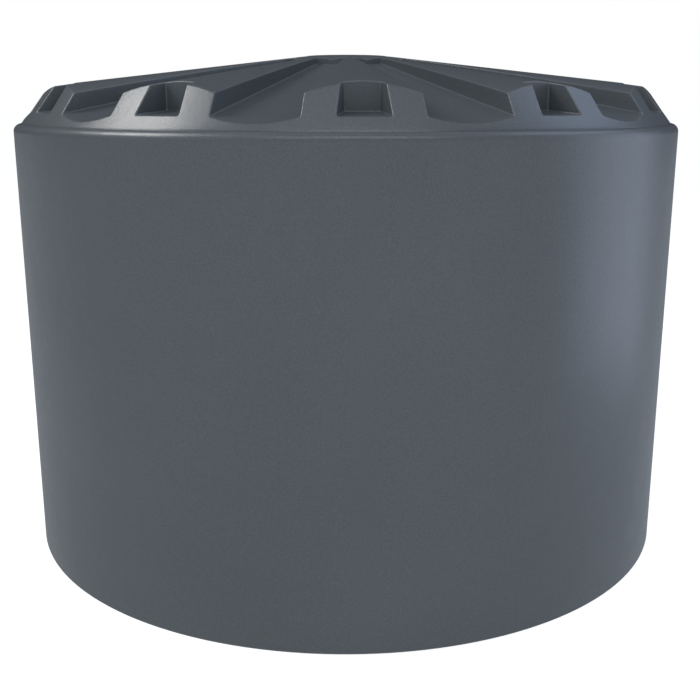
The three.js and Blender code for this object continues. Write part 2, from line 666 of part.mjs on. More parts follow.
// The lever is a strip with a raised handle. At rest it points along +X, across the pipe, and the
// valve is shut.
function valveLever() {
  const profile = new THREE.Shape();
  const t = LEVER_THICKNESS;
  profile.moveTo(-18, 0);
  profile.lineTo(28, 0);
  profile.lineTo(58, LEVER_RISE);
  profile.lineTo(LEVER_LENGTH, LEVER_RISE);
  profile.lineTo(LEVER_LENGTH, LEVER_RISE + t);
  profile.lineTo(56, LEVER_RISE + t);
  profile.lineTo(26, t);
  profile.lineTo(-18, t);
  profile.closePath();
  const strip = new THREE.ExtrudeGeometry(profile, { depth: LEVER_WIDTH, bevelEnabled: false });
  strip.rotateX(Math.PI / 2).translate(0, LEVER_WIDTH / 2, LEVER_BOTTOM);
  const hole = rod(STEM_TOP_RADIUS + GAP, LEVER_BOTTOM - 5, LEVER_BOTTOM + 10, 20);
  return without(solidOf(strip), hole).translate([0, BALL_Y, 0]);
}

function valveGrip() {
  const bottom = LEVER_BOTTOM + LEVER_RISE;
  const outer = block([70, LEVER_LENGTH + 4], [-17, 17], [bottom - 4, bottom + LEVER_THICKNESS + 4]);
  const inner = block(
    [60, LEVER_LENGTH + GAP],
    [-LEVER_WIDTH / 2 - GAP, LEVER_WIDTH / 2 + GAP],
    [bottom - GAP, bottom + LEVER_THICKNESS + GAP],
  );
  return without(solidOf(outer), inner).translate([0, BALL_Y, 0]);
}

function valveEnd() {
  const spigot = CHAMBER_RADIUS - GAP;
  const start = BALL_Y + 32 + GAP;
  const shoulder = CHAMBER_END + GAP;
  const profile = [
    [OUTLET.bore, start],
    [spigot, start],
    [spigot, shoulder],
    [42, shoulder],
    [42, shoulder + 14],
    [OUTLET.tube, shoulder + 18],
    [OUTLET.tube, VALVE_END],
    [OUTLET.bore, VALVE_END],
  ];
  return outletPiece(profile, [[48, shoulder, shoulder + 14]], [[OUTLET.bore, start - 5, VALVE_END + 5]]);
}

const TAIL_START = VALVE_END + GAP + 2.5;

function hoseTail() {
  const start = TAIL_START;
  const profile = [[TAIL_BORE, start], [OUTLET.tube, start], [OUTLET.tube, start + 4], [24, start + 6]];
  for (let barb = 0; barb < 3; barb++) {
    const from = start + 14 + barb * 12;
    profile.push([23, from], [26, from + 1], [23.5, from + 10]);
  }
  profile.push([22, TAIL_END], [TAIL_BORE, TAIL_END]);
  return solidOf(alongPipe(turned(profile, FITTING_FACETS), OUTLET.height));
}

function tailWasher() {
  const washer = sleeve(OUTLET.bore, OUTLET.tube - 0.5, VALVE_END + GAP, VALVE_END + 2.5, FITTING_FACETS);
  return solidOf(alongPipe(washer, OUTLET.height));
}

function tailNut() {
  const start = VALVE_END - 18;
  const end = VALVE_END + 13;
  const lip = TAIL_START + 6.7; // clear of the tail's flange
  const profile = [[20, start], [36, start], [36, end], [20, end]];
  const bores = [[OUTLET.tube + GAP, start - 5, lip], [25, start, end + 5]];
  return outletPiece(profile, [[42, start, end]], bores);
}

addConnector("outlet", OUTLET, solidOf(connector(OUTLET)).add(connectorHexagon(OUTLET, 16)));
addPiece("valve_body", valveBody(), "brass");
addPiece("valve_seat_in", valveSeat(CHAMBER_START + GAP), "seat_white");
addPiece("valve_seat_out", valveSeat(BALL_Y + 32 - SEAT_LENGTH), "seat_white");
addPiece("valve_ball", valveBall(), "chromed");
addPiece("valve_stem", valveStem(), "brass");
addPiece("valve_gland", ringNut(15, STEM_RADIUS + GAP, BONNET_TOP + GAP, GLAND_TOP, 6), "brass");
addPiece("valve_lever", valveLever(), "zinc_steel");
addPiece(
  "lever_nut",
  ringNut(9.5, STEM_TOP_RADIUS + GAP, LEVER_BOTTOM + LEVER_THICKNESS + GAP, LEVER_BOTTOM + 11, 6),
  "zinc_steel",
);
addPiece("valve_grip", valveGrip(), "grip_blue");
addPiece("valve_end", valveEnd(), "brass");
addPiece("tail_washer", tailWasher(), "rubber");
addPiece("hose_tail", hoseTail(), "brass");
addPiece("tail_nut", tailNut(), "brass");

export default tank;
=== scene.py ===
"""Looks of the round water storage tank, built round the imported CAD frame. Metres, +Z up."""

import json
import math

import bmesh
import bpy
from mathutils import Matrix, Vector


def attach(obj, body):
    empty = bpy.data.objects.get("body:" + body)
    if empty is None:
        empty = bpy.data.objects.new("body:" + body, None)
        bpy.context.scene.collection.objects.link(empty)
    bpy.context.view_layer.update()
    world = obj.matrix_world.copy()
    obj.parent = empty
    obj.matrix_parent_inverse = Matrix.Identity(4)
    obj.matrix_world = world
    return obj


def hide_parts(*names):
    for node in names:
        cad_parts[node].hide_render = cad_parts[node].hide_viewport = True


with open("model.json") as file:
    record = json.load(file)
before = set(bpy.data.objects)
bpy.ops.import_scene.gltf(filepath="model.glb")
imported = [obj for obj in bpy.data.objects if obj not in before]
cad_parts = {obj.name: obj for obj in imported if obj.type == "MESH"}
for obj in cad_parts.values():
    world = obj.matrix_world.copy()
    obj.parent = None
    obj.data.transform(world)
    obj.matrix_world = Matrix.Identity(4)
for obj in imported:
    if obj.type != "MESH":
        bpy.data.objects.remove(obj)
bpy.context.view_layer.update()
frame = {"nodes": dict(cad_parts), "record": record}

# ---- Dimensions of the moulding: heights of the roof are above the crease ----

RADIUS = 1.8
WALL = 0.009
CREASE_Z = 2.285
CREASE_RADIUS = 1.760
BEAD = RADIUS - CREASE_RADIUS
SECTORS = 12
SECTOR = 2 * math.pi / SECTORS
SKIRT_STEEPNESS = 1.36
RIB_APEX, RIB_FALL, RIB_CROWN, RIB_POWER = 0.3794, 0.116, 0.6766, -0.606
VALLEY_APEX, VALLEY_FALL, VALLEY_DISH, VALLEY_POWER = 0.3665, 0.195, 0.6368, -0.49
REFERENCE = 1.62
VALLEY_START = 0.362
VALLEY_NARROW, VALLEY_SPREAD = 0.079, 0.08346
VALLEY_DRAFT = 0.051
EDGE_PASSES = 12  # rounds in which the draft of a valley's side wall settles
ALONG_VALLEY = (0.2, 2.2)  # range of distances in which the top of a side wall is looked for
POCKET_BACK = 1.539
POCKET_HALF, POCKET_FLARE = 0.078, 0.202
POCKET_FLOOR, POCKET_FLOOR_FALL = 0.074, 0.09
HUB_RADIUS, HUB_HEIGHT = 0.22, 0.354
HUB_BLEND_RADIUS = 0.28  # the ribs' crown flattens out between here and the hub's flat top
HUB_EASE, HUB_EASE_DROP = 0.012, 0.0022
SEAT_RADIUS, SEAT_DEPTH = 0.203, 0.012
SEAT_EDGE = 0.002
MANHOLE_RADIUS = 0.172
MANHOLE_DEPTH = 0.030
INNER_RADII = (0.5, 1.0, 1.735)  # of the rings that carry the roof's underside
UNDERSIDE_GAP = 0.002
FLOOR_TOP = 0.010
FLOOR_RING = 0.6
BOTTOM_EDGE = 0.006
BOTTOM_EDGE_STEPS = 3
BOTTOM_RADII = (1.7, 1.2, 0.6, 0.2)
WALL_HEIGHTS = (2.0, 1.5, 1.0, 0.5, 0.1)
CREASE_DEPTH = 0.0050  # groove between the skirt and the bead
CREASE_LIP, CREASE_LIP_HEIGHT = 0.0015, 0.0006
CREASE_FLAT = (0.0004, 0.0020)  # start and end of the groove's floor, outwards from the crease
BEAD_START = math.radians(81)  # elevation of the bead's surface where it leaves the groove
BEAD_STEPS = 9
INNER_BEAD = BEAD - WALL
INNER_BEAD_STEPS = 4
INNER_CREASE = 0.006
EDGE_ROUNDING = 0.0055  # moulding radius of the roof's edges
SHARP = math.radians(22)  # edges that bend more than this are rounded
ROUNDING_START, ROUNDING_RAMP, LEAST_ROUNDING = 0.36, 0.7, 0.3
ROUNDED_FROM = 0.335  # edges nearer the axis belong to the hub and stay as they are
ROUNDED_ABOVE = 0.008  # edges lower than this above the crease belong to the shoulder
SKIN = 0.005  # allowance that tells the outside of the roof from its underside
WELD = 1e-5

# Flat pads moulded on the wall for the two fittings: height, pad radius and radius of the hole
PADS = ((2.120, 0.095, 0.056), (0.130, 0.070, 0.031))
PAD_FACE = 1.803
PAD_ROOT = 1.785
PAD_EDGE = 0.002
PAD_SEGMENTS = 64
HOLE_OVERRUN = 0.02

# Edges of the fittings
FITTING_EDGE = 0.0006
FITTING_SHARP = math.radians(35)

HALF = SECTOR / 2
COS_HALF, SIN_HALF = math.cos(HALF), math.sin(HALF)


def rib_height(x, y):
    """Height of a rib's top, x along the rib and y to its side: it falls outwards and is crowned."""
    return RIB_APEX - RIB_FALL * x - RIB_CROWN * (x / REFERENCE) ** RIB_POWER * y * y


def valley_height(x, y):
    """Height of a valley's floor, x along the valley and y to its side: it is dished."""
    return VALLEY_APEX - VALLEY_FALL * x + VALLEY_DISH * (x / REFERENCE) ** VALLEY_POWER * y * y


def valley_half_width(x):
    return VALLEY_NARROW + VALLEY_SPREAD * (x - VALLEY_START)


def from_valley(x, y):
    """A point of the valley's plan in the rib's plan. y is negative towards the rib."""
    return x * COS_HALF - y * SIN_HALF, x * SIN_HALF + y * COS_HALF


def pocket_half_width(x):
    return POCKET_HALF + POCKET_FLARE * (x - POCKET_BACK)


def skirt_radius(height):
    return CREASE_RADIUS - height / SKIRT_STEEPNESS


def solve(miss, low, high, steps=50):
    """Where miss, which rises from negative to positive, is zero."""
    for _ in range(steps):
        middle = (low + high) / 2
        low, high = (middle, high) if miss(middle) < 0 else (low, middle)
    return (low + high) / 2


def rib_edge(x):
    """Top of the valley's side wall, at a distance x along the valley."""
    y = valley_half_width(x)
    for _ in range(EDGE_PASSES):
        height = rib_height(*from_valley(x, -y))
        base = valley_half_width(x)
        y = base + VALLEY_DRAFT * (height - valley_height(x, base))
    plan = from_valley(x, -y)
    return Vector((*plan, rib_height(*plan)))


def valley_point(x, share):
    """A point of the valley floor: share 1 is the foot of the side wall, 0 the middle."""
    y = share * valley_half_width(x)
    return Vector((*from_valley(x, -y), valley_height(x, y)))


def past_skirt(point):
    """How far a point lies outside the skirt."""
    return math.hypot(point.x, point.y) - skirt_radius(point.z)


RIB_EDGE_END = solve(lambda x: past_skirt(rib_edge(x)), 1.2, 1.75)
VALLEY_SHARES = (1.0, 0.66, 0.33, 0.0)
VALLEY_ENDS = [solve(lambda x, s=s: past_skirt(valley_point(x, s)), 1.4, 1.8) for s in VALLEY_SHARES]
RIB_SHARES = (0.0, 0.5, 1.0)  # of the pocket's half width
EDGE_AT_POCKET = solve(lambda t: rib_edge(t).x - POCKET_BACK, *ALONG_VALLEY)


def pocket_floor(x, share):
    """A point of the pocket's floor: share 1 is its side, 0 its middle."""
    return Vector((x, share * pocket_half_width(x), POCKET_FLOOR - POCKET_FLOOR_FALL * (x - POCKET_BACK)))


POCKET_ENDS = [solve(lambda x, s=s: past_skirt(pocket_floor(x, s)), 1.6, 1.8) for s in RIB_SHARES]
SIDE_SHARES = (0.35, 0.7)  # between the pocket's side and the rib's edge
ROOF_ROWS = 7
ROW_CROWDING = 1.3
POCKET_ROWS = 2
WALL_STEPS = 3
SKIRT_STEPS = (0.5, 0.15)  # shares of the height between the roof's lower line and the crease
RIB_COLUMNS = len(RIB_SHARES) + len(SIDE_SHARES) + 1  # the last one is the rib's edge
BESIDE_POCKET = (2, 3, 4)  # columns that pass beside the pocket


def rib_point(x, y):
    return Vector((x, y, rib_height(x, y)))


def rib_column(index, x):
    """Point of the rib's top in one of its columns, at x along the rib."""
    edge = solve_edge(x)
    split = min(POCKET_HALF / solve_edge(POCKET_BACK).y * edge.y, edge.y)
    if x > POCKET_BACK:
        split = pocket_half_width(x)
    if index < len(RIB_SHARES):
        return rib_point(x, RIB_SHARES[index] * split)
    if index < RIB_COLUMNS - 1:
        return rib_point(x, split + SIDE_SHARES[index - len(RIB_SHARES)] * (edge.y - split))
    return edge


def solve_edge(x):
    """The rib's edge, at x along the rib."""
    along = solve(lambda t: rib_edge(t).x - x, *ALONG_VALLEY)
    return rib_edge(along)


def column_end(index):
    """Where a column of the rib's top meets the skirt."""
    if index == RIB_COLUMNS - 1:
        return rib_edge(RIB_EDGE_END)
    return rib_column(index, solve(lambda x: past_skirt(rib_column(index, x)), 1.4, 1.75))


def on_skirt(angle, height):
    radius = skirt_radius(height)
    return Vector((radius * math.cos(angle), radius * math.sin(angle), height))


def angle_of(point):
    return math.atan2(point.y, point.x)


# ---- The half sector from a rib's middle to the next valley's middle ----


class Patch:
    """Collects quads of the half sector, mirrors them and repeats them round the tank."""

    def __init__(self):
        self.points = []
        self.faces = []

    def grid(self, rows):
        """rows of equally many points; the faces look along (next row) x (next column)."""
        start = len(self.points)
        width = len(rows[0])
        for row in rows:
            self.points.extend(row)
        for r in range(len(rows) - 1):
            for c in range(width - 1):
                a = start + r * width + c
                self.faces.append((a, a + width, a + width + 1, a + 1))

    def all_round(self):
        points = []
        faces = []
        for mirror in (1, -1):
            for turn in range(SECTORS):
                angle = turn * SECTOR - math.pi / 2
                c, s = math.cos(angle), math.sin(angle)
                first = len(points)
                for p in self.points:
                    y = p.y * mirror
                    points.append((p.x * c - y * s, p.x * s + y * c, p.z + CREASE_Z))
                for face in self.faces:
                    order = face if mirror == 1 else face[::-1]
                    faces.append(tuple(first + i for i in order))
        return points, faces


def lerp(a, b, t):
    return a + (b - a) * t


def stepped(top, base):
    """Points down a wall, from its top edge to its foot."""
    return [lerp(top, base, k / WALL_STEPS) for k in range(WALL_STEPS + 1)]


def row_share(k):
    """Share of the way out to the pocket: the rows lie closer together near the hub."""
    return (k / ROOF_ROWS) ** ROW_CROWDING


def shell_patch():
    """The moulding's outside and inside, over half a sector."""
    patch = Patch()
    ends = [column_end(i) for i in range(RIB_COLUMNS)]
    starts = [rib_column(i, rib_edge(VALLEY_START).x) for i in range(RIB_COLUMNS)]

    # rib top, from the hub out to the pocket's back wall, then on to the skirt beside the pocket
    inner = []
    for k in range(ROOF_ROWS + 1):
        t = row_share(k)
        row = [rib_column(i, lerp(starts[i].x, POCKET_BACK, t)) for i in range(RIB_COLUMNS - 1)]
        row.append(rib_edge(lerp(VALLEY_START, EDGE_AT_POCKET, t)))
        inner.append(row)
    patch.grid(inner)
    outer = []
    for k in range(POCKET_ROWS + 1):
        t = k / POCKET_ROWS
        row = [rib_column(i, lerp(POCKET_BACK, ends[i].x, t)) for i in BESIDE_POCKET]
        row.append(rib_edge(lerp(EDGE_AT_POCKET, RIB_EDGE_END, t)))
        outer.append(row)
    patch.grid(outer)
    rib_edges = [row[-1] for row in inner] + [row[-1] for row in outer[1:]]

    # pocket floor, from its back wall to the skirt
    pocket = []
    for k in range(POCKET_ROWS + 1):
        t = k / POCKET_ROWS
        pocket.append([
            pocket_floor(lerp(POCKET_BACK, end, t), share) for end, share in zip(POCKET_ENDS, RIB_SHARES)
        ])
    patch.grid(pocket)

    # valley floor
    floor = []
    for k in range(ROOF_ROWS + POCKET_ROWS + 1):
        if k <= ROOF_ROWS:
            along = [lerp(VALLEY_START, EDGE_AT_POCKET, row_share(k))] * len(VALLEY_SHARES)
        else:
            t = (k - ROOF_ROWS) / POCKET_ROWS
            along = [lerp(EDGE_AT_POCKET, end, t) for end in VALLEY_ENDS]
        floor.append([valley_point(x, share) for x, share in zip(along, VALLEY_SHARES)])
    patch.grid(floor)

    # skirt beside the pocket, from the rib's end down to the level of the pocket and valley floors
    high = outer[-1]
    corner, foot = pocket[-1][2], floor[-1][0]
    low = [corner]
    for share in SIDE_SHARES:
        low.append(on_skirt(lerp(angle_of(corner), angle_of(foot), share), lerp(corner.z, foot.z, share)))
    low.append(foot)
    upper = [high]
    for k in range(1, WALL_STEPS):
        t = k / WALL_STEPS
        upper.append([
            on_skirt(lerp(angle_of(a), angle_of(b), t), lerp(a.z, b.z, t)) for a, b in zip(high, low)
        ])
    upper.append(low)
    patch.grid(upper)

    # side walls of the valley and the pocket, which end on the skirt
    valley_wall = [stepped(top, row[0]) for top, row in zip(rib_edges, floor)]
    valley_wall[-1] = [row[-1] for row in upper]
    patch.grid(valley_wall)
    pocket_wall = [stepped(row[0], base[2]) for row, base in zip(outer, pocket)]
    pocket_wall[-1] = [row[0] for row in upper]
    patch.grid([row[::-1] for row in pocket_wall])

    # upright walls: the pocket's back, and the hub at the valley's inner end
    back = zip(*[stepped(top, base) for top, base in zip(inner[-1][:3], pocket[0])])
    patch.grid([list(row) for row in back])
    hub_top = [rib_edges[0]] + [rib_point(p.x, p.y) for p in floor[0][1:]]
    hub_wall = zip(*[stepped(top, base) for top, base in zip(hub_top, floor[0])])
    patch.grid([list(row) for row in hub_wall])

    band_top = pocket[-1][:2] + low + floor[-1][1:]
    band = [band_top]
    for t in SKIRT_STEPS:
        band.append([on_skirt(angle_of(p), p.z * t) for p in band_top])
    angles = [angle_of(p) for p in band_top]

    def ring(radius, height):
        return [Vector((radius * math.cos(a), radius * math.sin(a), height)) for a in angles]

    # crease, shoulder bead, wall, lower edge and underside
    band.append(ring(CREASE_RADIUS - CREASE_LIP, CREASE_LIP_HEIGHT))
    for reach in CREASE_FLAT:
        band.append(ring(CREASE_RADIUS + reach, -CREASE_DEPTH))
    for k in range(BEAD_STEPS + 1):
        angle = BEAD_START * (1 - k / BEAD_STEPS)
        band.append(ring(CREASE_RADIUS + BEAD * math.cos(angle), BEAD * (math.sin(angle) - 1)))
    for z in WALL_HEIGHTS:
        band.append(ring(RADIUS, z - CREASE_Z))
    for k in range(BOTTOM_EDGE_STEPS + 1):
        angle = math.pi / 2 * k / BOTTOM_EDGE_STEPS
        radius = RADIUS - BOTTOM_EDGE * (1 - math.cos(angle))
        band.append(ring(radius, BOTTOM_EDGE * (1 - math.sin(angle)) - CREASE_Z))
    for radius in BOTTOM_RADII:
        band.append(ring(radius, -CREASE_Z))
    band.append([Vector((0, 0, -CREASE_Z))] * len(angles))
    patch.grid(band)

    # hub top, the strainer's seat, the manhole and the inside of the tank
    hub = [inner[0] + hub_top[1:]]
    angles = [angle_of(p) for p in hub[0]]
    hub.append([rib_point(p.x, p.y) for p in ring(HUB_BLEND_RADIUS, 0)])
    hub.append(ring(HUB_RADIUS + HUB_EASE, HUB_HEIGHT - HUB_EASE_DROP))
    hub.append(ring(HUB_RADIUS, HUB_HEIGHT))
    hub.append(ring(SEAT_RADIUS + SEAT_EDGE, HUB_HEIGHT))
    hub.append(ring(SEAT_RADIUS, HUB_HEIGHT - SEAT_EDGE))
    hub.append(ring(SEAT_RADIUS, HUB_HEIGHT - SEAT_DEPTH))
    hub.append(ring(MANHOLE_RADIUS, HUB_HEIGHT - SEAT_DEPTH))
    hub.append(ring(MANHOLE_RADIUS, HUB_HEIGHT - MANHOLE_DEPTH))
    for radius in INNER_RADII:
        hub.append(ring(radius, VALLEY_APEX - VALLEY_FALL * radius - WALL - UNDERSIDE_GAP))
    hub.append(ring(CREASE_RADIUS - INNER_CREASE, -WALL))
    for k in range(1, INNER_BEAD_STEPS + 1):
        angle = math.pi / 2 * (1 - k / INNER_BEAD_STEPS)
        hub.append(ring(CREASE_RADIUS + INNER_BEAD * math.cos(angle), INNER_BEAD * math.sin(angle) - BEAD))
    hub.append(ring(RADIUS - WALL, FLOOR_TOP - CREASE_Z))
    hub.append(ring(FLOOR_RING, FLOOR_TOP - CREASE_Z))
    hub.append([Vector((0, 0, FLOOR_TOP - CREASE_Z))] * len(angles))
    patch.grid([row[::-1] for row in hub])
    return patch


def mesh_object(name, points, faces):
    mesh = bpy.data.meshes.new(name)
    mesh.from_pydata(points, [], faces)
    mesh.update()
    obj = bpy.data.objects.new(name, mesh)
    bpy.context.scene.collection.objects.link(obj)
    return obj


def is_outside(point):
    """Whether a point of the roof is on its outside and not in the hub."""
    radius = math.hypot(point.x, point.y)
    height = point.z - CREASE_Z
    lowest = max(ROUNDED_ABOVE, VALLEY_APEX - VALLEY_FALL * radius - SKIN)
    return radius > ROUNDED_FROM and height > lowest


def rounding_share(point):
    """Share of the moulding radius that an edge gets: smaller where the ribs run together."""
    out = (math.hypot(point.x, point.y) - ROUNDING_START) / ROUNDING_RAMP
    return lerp(LEAST_ROUNDING, 1.0, max(0.0, min(1.0, out)))


def close_shell(obj):
    """Welds the patches and marks the roof's edges for rounding."""
    bm = bmesh.new()
    bm.from_mesh(obj.data)
    bmesh.ops.remove_doubles(bm, verts=bm.verts, dist=WELD)
    bmesh.ops.dissolve_degenerate(bm, edges=bm.edges, dist=WELD)
    bmesh.ops.recalc_face_normals(bm, faces=bm.faces)
    weight = bm.edges.layers.float.new("bevel_weight_edge")
    for edge in bm.edges:
        middle = (edge.verts[0].co + edge.verts[1].co) / 2
        if is_outside(middle) and edge.calc_face_angle(0) > SHARP:
            edge[weight] = rounding_share(middle)
    for face in bm.faces:
        face.smooth = True
    bm.to_mesh(obj.data)
    bm.free()
    rounding = obj.modifiers.new("moulding_radius", "BEVEL")
    rounding.limit_method = "WEIGHT"
    rounding.width = EDGE_ROUNDING
    rounding.segments = 3
    rounding.use_clamp_overlap = False
    rounding.miter_outer = "MITER_ARC"


def lathe_along_pipe(name, profile, height):
    """A closed solid turned about the pipe axis, +Y. The profile runs from the axis out and back."""
    ring = [2 * math.pi * k / PAD_SEGMENTS for k in range(PAD_SEGMENTS)]
    points = [(r * math.cos(a), y, height + r * math.sin(a)) for r, y in profile for a in ring]
    faces = [tuple(range(PAD_SEGMENTS)), tuple(range(len(points) - 1, len(points) - PAD_SEGMENTS - 1, -1))]
    for row in range(len(profile) - 1):
        first = row * PAD_SEGMENTS
        for k in range(PAD_SEGMENTS):
            after = (k + 1) % PAD_SEGMENTS
            faces.append((first + k, first + PAD_SEGMENTS + k, first + PAD_SEGMENTS + after, first + after))
    solid = mesh_object(name, points, faces)
    bm = bmesh.new()
    bm.from_mesh(solid.data)
    bmesh.ops.recalc_face_normals(bm, faces=bm.faces)
    for face in bm.faces:
        face.smooth = True
    bm.to_mesh(solid.data)
    bm.free()
    return solid


def add_pads(obj):
    """Joins the pads to the rounded shell, cuts the holes for the tubes and keeps the result."""
    tools = []
    for height, radius, hole in PADS:
        pad = [(radius, PAD_ROOT), (radius, PAD_FACE - PAD_EDGE), (radius - PAD_EDGE, PAD_FACE)]
        cut = [(hole, PAD_ROOT - HOLE_OVERRUN), (hole, PAD_FACE + HOLE_OVERRUN)]
        tools.append(("UNION", lathe_along_pipe("pad_tool", pad, height)))
        tools.append(("DIFFERENCE", lathe_along_pipe("hole_tool", cut, height)))
    for operation, tool in tools:
        step = obj.modifiers.new("pad_step", "BOOLEAN")
        step.operation = operation
        step.solver = "EXACT"
        step.object = tool
    finished = bpy.data.meshes.new_from_object(obj.evaluated_get(bpy.context.evaluated_depsgraph_get()))
    obj.modifiers.clear()
    obj.data = finished
    for _, tool in tools:
        bpy.data.objects.remove(tool)
    normals = obj.modifiers.new("flat_faces_stay_flat", "WEIGHTED_NORMAL")
    normals.keep_sharp = True


# ---- Materials ----


def add_ramp(tree, source, stops):
    """stops: (position, grey or colour) pairs."""
    node = tree.nodes.new("ShaderNodeValToRGB")
    elements = node.color_ramp.elements
    while len(elements) < len(stops):
        elements.new(0.5)
    for element, (position, colour) in zip(elements, stops):
        element.position = position
        element.color = (*colour, 1) if isinstance(colour, tuple) else (colour, colour, colour, 1)
    tree.links.new(source, node.inputs["Fac"])
    return node.outputs["Color"]


class Nodes:
    """A material's node tree, written as short calls."""

    def __init__(self, name):
        self.material = bpy.data.materials.new(name)
        self.material.use_nodes = True
        self.tree = self.material.node_tree
        self.shader = self.tree.nodes["Principled BSDF"]
        self.place = self.add("ShaderNodeTexCoord").outputs["Object"]

    def add(self, kind, **values):
        node = self.tree.nodes.new(kind)
        for key, value in values.items():
            setattr(node, key, value)
        return node

    def link(self, source, target):
        self.tree.links.new(source, target)

    def noise(self, scale, detail=2.0, roughness=0.5, stretch=None):
        node = self.add("ShaderNodeTexNoise")
        node.inputs["Scale"].default_value = scale
        node.inputs["Detail"].default_value = detail
        node.inputs["Roughness"].default_value = roughness
        place = self.place
        if stretch:
            mapping = self.add("ShaderNodeMapping")
            mapping.inputs["Scale"].default_value = stretch
            self.link(place, mapping.inputs["Vector"])
            place = mapping.outputs["Vector"]
        self.link(place, node.inputs["Vector"])
        return node.outputs["Fac"]

    def ramp(self, source, stops):
        return add_ramp(self.tree, source, stops)

    def mix(self, share, a, b, blend="MIX"):
        node = self.add("ShaderNodeMix", data_type="RGBA", blend_type=blend)
        for value, socket in ((share, node.inputs[0]), (a, node.inputs[6]), (b, node.inputs[7])):
            if isinstance(value, bpy.types.NodeSocket):
                self.link(value, socket)
            else:
                socket.default_value = value if isinstance(value, float) else (*value, 1)
        return node.outputs[2]

    def edges(self, radius, low, high):
        """1 along edges of the shape, within a radius, and 0 on its flat faces."""
        bevel = self.add("ShaderNodeBevel", samples=4)
        bevel.inputs["Radius"].default_value = radius
        plain = self.add("ShaderNodeNewGeometry")
        dot = self.add("ShaderNodeVectorMath", operation="DOT_PRODUCT")
        self.link(bevel.outputs["Normal"], dot.inputs[0])
        self.link(plain.outputs["Normal"], dot.inputs[1])
        return self.ramp(dot.outputs["Value"], [(low, 1.0), (high, 0.0)])

    def bump(self, *layers):
        """layers: (height source, distance in metres)."""
        normal = None
        for source, distance in layers:
            node = self.add("ShaderNodeBump")
            node.inputs["Distance"].default_value = distance
            self.link(source, node.inputs["Height"])
            if normal:
                self.link(normal, node.inputs["Normal"])
            normal = node.outputs["Normal"]
        self.link(normal, self.shader.inputs["Normal"])

    def colour(self, source):
        self.link(source, self.shader.inputs["Base Color"])

    def roughness(self, source):
        self.link(source, self.shader.inputs["Roughness"])

    def fixed(self, **values):
        for key, value in values.items():
            self.shader.inputs[key.replace("_", " ")].default_value = value


def shade(colour, factor):
    return tuple(min(1.0, c * factor) for c in colour)


def tank_plastic():
    """Moulded polyethylene: slate blue, with flow clouds, a fine orange peel and painted highlights along
    the edges.
    """
    n = Nodes("tank_polyethylene")
    slate = (0.072, 0.080, 0.089)
    clouds = n.ramp(n.noise(0.9, 3.0, 0.55), [(0.3, shade(slate, 0.95)), (0.7, shade(slate, 1.05))])
    speckle = n.ramp(n.noise(150.0, 3.0, 0.65), [(0.3, 0.82), (0.7, 1.18)])
    colour = n.mix(1.0, clouds, speckle, "MULTIPLY")
    # painted highlight: the edges are mixed towards a paler grey, standing in for light caught by their
    # rounding
    edge_wear_and_highlight = n.edges(0.006, 0.90, 0.995)
    colour = n.mix(n.mix(1.0, edge_wear_and_highlight, (0.65, 0.65, 0.65), "MULTIPLY"), colour, (0.30, 0.31, 0.32))
    n.colour(colour)
    n.roughness(n.ramp(n.noise(14.0, 4.0, 0.6), [(0.25, 0.29), (0.75, 0.34)]))
    n.bump((n.noise(1.6, 2.0), 0.010), (n.noise(90.0, 2.0, 0.55), 0.0006), (n.noise(260.0, 1.0), 0.0003))
    n.fixed(Specular_IOR_Level=0.5)
    return n.material


def moulded_black():
    n = Nodes("black_moulded_plastic")
    black = (0.016, 0.017, 0.018)
    clouds = n.ramp(n.noise(9.0, 3.0), [(0.3, shade(black, 0.85)), (0.7, shade(black, 1.3))])
    dusty = n.edges(0.002, 0.85, 0.99)
    n.colour(n.mix(n.mix(1.0, dusty, (0.4, 0.4, 0.4), "MULTIPLY"), clouds, (0.07, 0.07, 0.07)))
    n.roughness(n.ramp(n.noise(60.0, 3.0), [(0.3, 0.45), (0.7, 0.6)]))
    n.bump((n.noise(500.0, 2.0), 0.0002))
    return n.material


def metal(name, colour, low, high, stretch, grain=0.00008, edge_wear_and_highlight=1.35):
    n = Nodes(name)
    streaks = n.noise(420.0, 3.0, 0.6, stretch)
    tone = n.ramp(n.noise(25.0, 3.0), [(0.3, shade(colour, 0.88)), (0.7, shade(colour, 1.06))])
    n.colour(n.mix(n.edges(0.0015, 0.85, 0.99), tone, shade(colour, edge_wear_and_highlight)))
    n.roughness(n.ramp(streaks, [(0.3, low), (0.7, high)]))
    n.bump((streaks, grain))
    n.fixed(Metallic=1.0)
    return n.material


def rubber():
    n = Nodes("black_rubber")
    n.colour(n.ramp(n.noise(80.0, 3.0), [(0.3, 0.012), (0.7, 0.024)]))
    n.roughness(n.ramp(n.noise(140.0, 2.0), [(0.3, 0.75), (0.7, 0.9)]))
    n.bump((n.noise(700.0, 2.0), 0.0002))
    return n.material


def dipped_vinyl():
    n = Nodes("blue_dipped_vinyl")
    blue = (0.016, 0.078, 0.32)
    n.colour(n.ramp(n.noise(45.0, 3.0), [(0.3, shade(blue, 0.8)), (0.7, shade(blue, 1.15))]))
    n.roughness(n.ramp(n.noise(90.0, 2.0), [(0.3, 0.38), (0.7, 0.55)]))
    n.bump((n.noise(300.0, 2.0), 0.0004))
    return n.material


def seat_polymer():
    n = Nodes("seat_polymer")
    n.colour(n.ramp(n.noise(60.0, 2.0), [(0.3, (0.74, 0.72, 0.67)), (0.7, (0.82, 0.80, 0.76))]))
    n.roughness(n.ramp(n.noise(120.0, 2.0), [(0.3, 0.3), (0.7, 0.45)]))
    n.bump((n.noise(500.0, 2.0), 0.0001))
    return n.material


